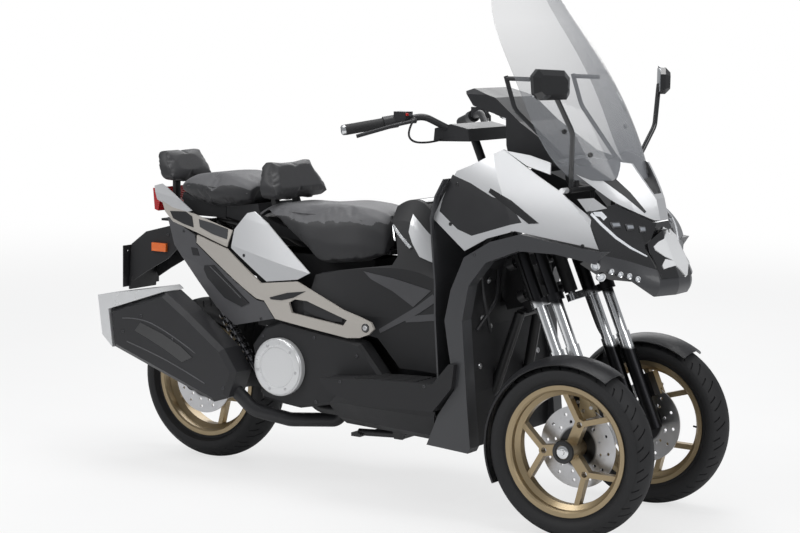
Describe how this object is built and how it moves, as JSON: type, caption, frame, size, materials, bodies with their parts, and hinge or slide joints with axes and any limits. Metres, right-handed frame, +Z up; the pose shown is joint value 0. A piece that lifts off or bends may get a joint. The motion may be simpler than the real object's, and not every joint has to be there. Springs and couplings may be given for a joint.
{
  "type": "three-wheeled maxi scooter",
  "caption": "Tilting scooter with twin steered front wheels, one driven rear wheel, stepped seat with backrests, tall screen and mirrors.",
  "frame": {"origin": "on the floor below the middle of the machine's length and width", "axes": "+X forward, +Y to the rider's left, +Z up"},
  "size_m": [2.1996, 0.8878, 1.655],
  "materials": {
    "black_plastic": "grained black plastic",
    "gloss_black": "gloss black",
    "body_paint": "light silver paint",
    "trim_paint": "dark grey satin paint",
    "frame_paint": "satin black paint",
    "wheel_paint": "bronze-gold wheel paint",
    "shock_steel": "bright spring steel",
    "chrome": "bright chrome",
    "alloy": "cast alloy",
    "disc_steel": "ground steel",
    "tyre": "black rubber",
    "grip_rubber": "black rubber",
    "seat_vinyl": "black seat cover",
    "lens": "clear lens",
    "red_lens": "red lens",
    "amber": "amber reflector",
    "screen": "clear screen"
  },
  "bodies": {
    "root": {"frame": "frame_paint", "tilt_arms": "frame_paint", "uprights": "frame_paint", "engine_block": "alloy", "case_covers": "black_plastic", "case_cap": "alloy", "swingarm": "frame_paint", "muffler": "black_plastic", "muffler_cap": "body_paint", "side_panels": "body_paint", "tail_cowl": "body_paint", "frame_trims": "trim_paint", "grab_rails": "trim_paint", "tail_skirts": "black_plastic", "fairings": "body_paint", "fairing_inserts": "black_plastic", "headlamps": "lens", "hood": "body_paint", "beak": "body_paint", "chin": "trim_paint", "arch_surrounds": "trim_paint", "windscreen": "screen", "pillion_backrest": "seat_vinyl", "tunnel": "black_plastic", "underseat_tub": "black_plastic", "footboards": "black_plastic", "belly_pan": "black_plastic", "arch_liner": "black_plastic", "leg_shields": "black_plastic", "dash": "black_plastic", "screen_brackets": "frame_paint", "mirrors": "gloss_black", "rear_fender": "black_plastic", "tail_lamp": "red_lens", "reflectors": "amber", "lamp_clusters": "black_plastic", "rear_shocks": "shock_steel", "cheeks": "gloss_black"},
    "handlebar": {"handlebar": "black_plastic", "grips": "grip_rubber"},
    "fork_left": {"fork_left": "chrome", "fender_left": "black_plastic"},
    "fork_right": {"fork_right": "chrome", "fender_right": "black_plastic"},
    "wheel_front_left": {"tyre_front_left": "tyre", "rim_front_left": "wheel_paint", "disc_front_left": "disc_steel"},
    "wheel_front_right": {"tyre_front_right": "tyre", "rim_front_right": "wheel_paint", "disc_front_right": "disc_steel"},
    "wheel_rear": {"tyre_rear": "tyre", "rim_rear": "wheel_paint", "disc_rear": "disc_steel"},
    "seat": {"seat_base": "black_plastic", "rider_seat": "seat_vinyl", "pillion_seat": "seat_vinyl", "rider_backrest": "seat_vinyl"},
    "fuel_lid": {"fuel_lid": "body_paint"},
    "centre_stand": {"centre_stand": "frame_paint"}
  },
  "joints": [
    {"name": "handlebar_steer", "type": "hinge", "parent": "root", "child": "handlebar", "pos_m": [0.30525, 0, 1.17], "axis": [-0.4067, 0, 0.9135], "range_deg": [-30, 30]},
    {"name": "fork_left_steer", "type": "hinge", "parent": "root", "child": "fork_left", "pos_m": [0.78725, 0.12, 0.2745], "axis": [-0.3955, 0, 0.9184], "range_deg": [-30, 30]},
    {"name": "fork_right_steer", "type": "hinge", "parent": "root", "child": "fork_right", "pos_m": [0.78725, -0.12, 0.2745], "axis": [-0.3955, 0, 0.9184], "range_deg": [-30, 30]},
    {"name": "wheel_front_left_spin", "type": "hinge", "parent": "fork_left", "child": "wheel_front_left", "pos_m": [0.82525, 0.28, 0.2745], "axis": [0, 1, 0], "continuous": true},
    {"name": "wheel_front_right_spin", "type": "hinge", "parent": "fork_right", "child": "wheel_front_right", "pos_m": [0.82525, -0.28, 0.2745], "axis": [0, 1, 0], "continuous": true},
    {"name": "wheel_rear_spin", "type": "hinge", "parent": "root", "child": "wheel_rear", "pos_m": [-0.75475, 0, 0.2865], "axis": [0, 1, 0], "continuous": true},
    {"name": "seat_open", "type": "hinge", "parent": "root", "child": "seat", "pos_m": [0.03925, 0, 0.885], "axis": [0, 1, 0], "range_deg": [0, 45]},
    {"name": "fuel_lid_open", "type": "hinge", "parent": "root", "child": "fuel_lid", "pos_m": [0.16025, 0, 0.967], "axis": [0, 1, 0], "range_deg": [0, 80]},
    {"name": "centre_stand_swing", "type": "hinge", "parent": "root", "child": "centre_stand", "pos_m": [0.10525, 0, 0.198], "axis": [0, -1, 0], "range_deg": [0, 80], "stiffness_Nm_per_rad": 2, "springref_deg": -34.38}
  ],
  "couplings": [
    {"joint": "fork_left_steer", "follows": "handlebar_steer", "ratio": 1},
    {"joint": "fork_right_steer", "follows": "handlebar_steer", "ratio": 1}
  ]
}
